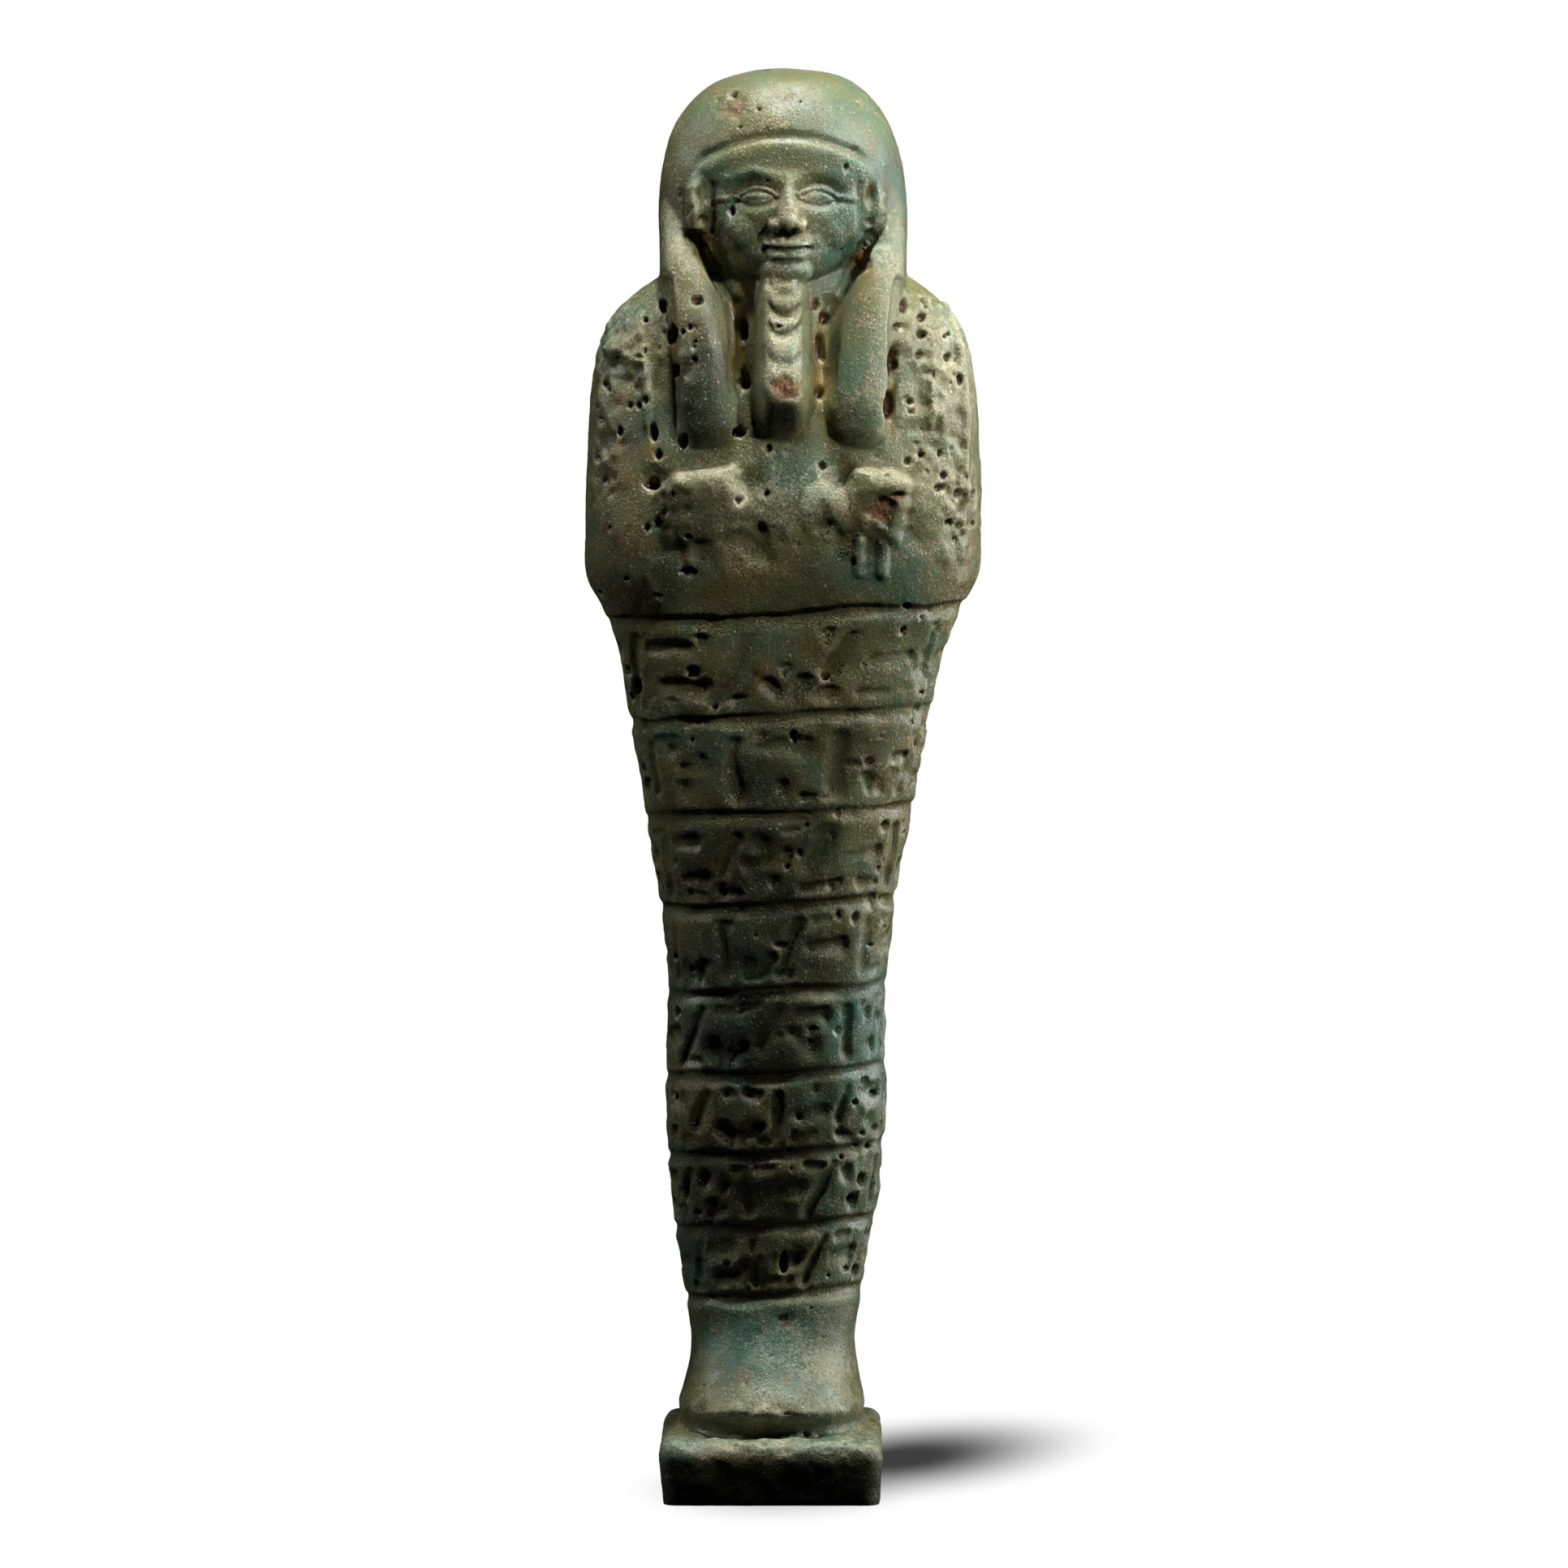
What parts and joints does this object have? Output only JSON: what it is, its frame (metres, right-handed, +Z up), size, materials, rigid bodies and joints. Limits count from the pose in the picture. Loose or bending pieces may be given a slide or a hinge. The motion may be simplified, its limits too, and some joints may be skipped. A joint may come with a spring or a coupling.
{
  "type": "faience shabti",
  "caption": "Mummy-shaped glazed faience funerary figure with tripartite wig, beard, crossed hands, inscribed rows, back pillar and low plinth.",
  "frame": {"origin": "on the ground under the middle of the figure's bounding box", "axes": "+Z up from the plinth to the crown, the face looks towards -Y, +X to the viewer's right"},
  "size_m": [0.0446, 0.0314, 0.16],
  "materials": {
    "faience": "satin green-blue glaze with brown and sandy wear over a gritty quartz body"
  },
  "bodies": {
    "root": {"shabti": "faience"}
  },
  "joints": []
}
